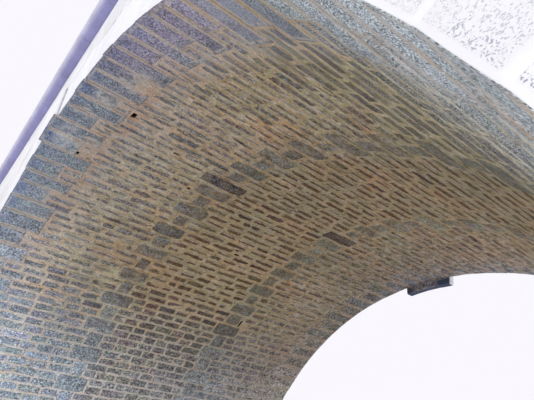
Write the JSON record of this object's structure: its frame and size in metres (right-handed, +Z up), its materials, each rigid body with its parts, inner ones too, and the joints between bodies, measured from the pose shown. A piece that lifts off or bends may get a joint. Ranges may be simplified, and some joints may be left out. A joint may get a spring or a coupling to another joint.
{
  "type": "single-arch stone bridge",
  "caption": "Stone bridge with one round vault on low plinths, dressed face rings, bond bands across the vault, keystones, round-nosed cornice and parapets.",
  "frame": {"origin": "on the ground in the middle of the bridge, under the crown of the arch", "axes": "+X along the road, +Y through the passage from the near face to the far face, +Z up"},
  "size_m": [14.52, 5.4398, 5.92],
  "materials": {
    "plinth_stone": "rough dressed",
    "ring_stone": "pecked panels inside smooth margins",
    "vault_stone": "rough coursed rubble with wide ochre mortar",
    "band_stone": "rough dressed",
    "wall_stone": "pecked coursed blocks",
    "rubble_core": "rough",
    "road_gravel": "worn gravel",
    "cornice_stone": "fine dressed"
  },
  "bodies": {
    "root": {"plinth_left": "plinth_stone", "plinth_right": "plinth_stone", "ring_near_left": "ring_stone", "keystone_near": "ring_stone", "ring_near_right": "ring_stone", "vault_near_left": "vault_stone", "vault_near_right": "vault_stone", "band_near_left": "band_stone", "band_near_right": "band_stone", "vault_middle_left": "vault_stone", "vault_middle_right": "vault_stone", "band_far_left": "band_stone", "band_far_right": "band_stone", "vault_far_left": "vault_stone", "vault_far_right": "vault_stone", "ring_far_left": "ring_stone", "keystone_far": "ring_stone", "ring_far_right": "ring_stone", "spandrel_near_left": "wall_stone", "spandrel_near_right": "wall_stone", "spandrel_far_left": "wall_stone", "spandrel_far_right": "wall_stone", "end_wall_left": "wall_stone", "end_wall_right": "wall_stone", "backing_left": "rubble_core", "backing_right": "rubble_core", "deck": "road_gravel", "cornice_near": "cornice_stone", "cornice_far": "cornice_stone", "parapet_near": "wall_stone", "parapet_far": "wall_stone", "coping_near": "cornice_stone", "coping_far": "cornice_stone"}
  },
  "joints": []
}
